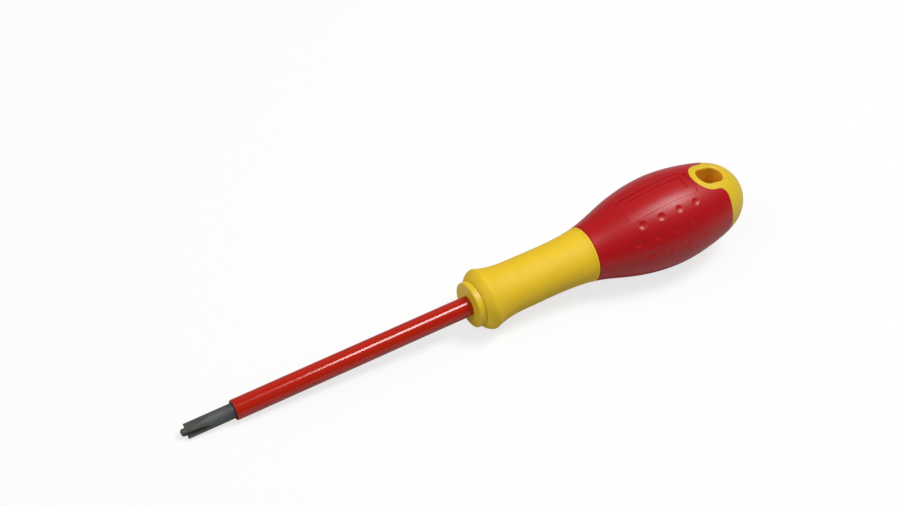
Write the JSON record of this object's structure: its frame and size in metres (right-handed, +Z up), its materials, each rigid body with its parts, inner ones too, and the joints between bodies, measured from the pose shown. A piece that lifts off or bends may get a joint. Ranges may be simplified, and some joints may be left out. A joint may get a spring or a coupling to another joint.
{
  "type": "insulated screwdriver",
  "caption": "Insulated screwdriver with a combined slotted and cross tip, an insulated round blade, and a red and yellow handle with a finger guard and a hanging hole.",
  "frame": {"origin": "centre of the bounding box's base, on the bench that the screwdriver lies on", "axes": "+X along the tool from the tip towards the handle's end, +Z up, and the hanging hole runs near Z"},
  "size_m": [0.2102, 0.0324, 0.0325],
  "materials": {
    "blade": "dark blackened tool steel, satin",
    "blade_insulation": "moulded red insulating plastic, glossy",
    "inner_core": "moulded yellow plastic, hidden",
    "handle_body": "moulded yellow plastic, satin",
    "neck_sleeve": "soft yellow thermoplastic elastomer, matte",
    "grip": "soft red thermoplastic elastomer, satin"
  },
  "bodies": {
    "root": {"blade": "blade", "blade_insulation": "blade_insulation", "inner_core": "inner_core", "handle_body": "handle_body", "neck_sleeve": "neck_sleeve", "grip": "grip"}
  },
  "joints": []
}
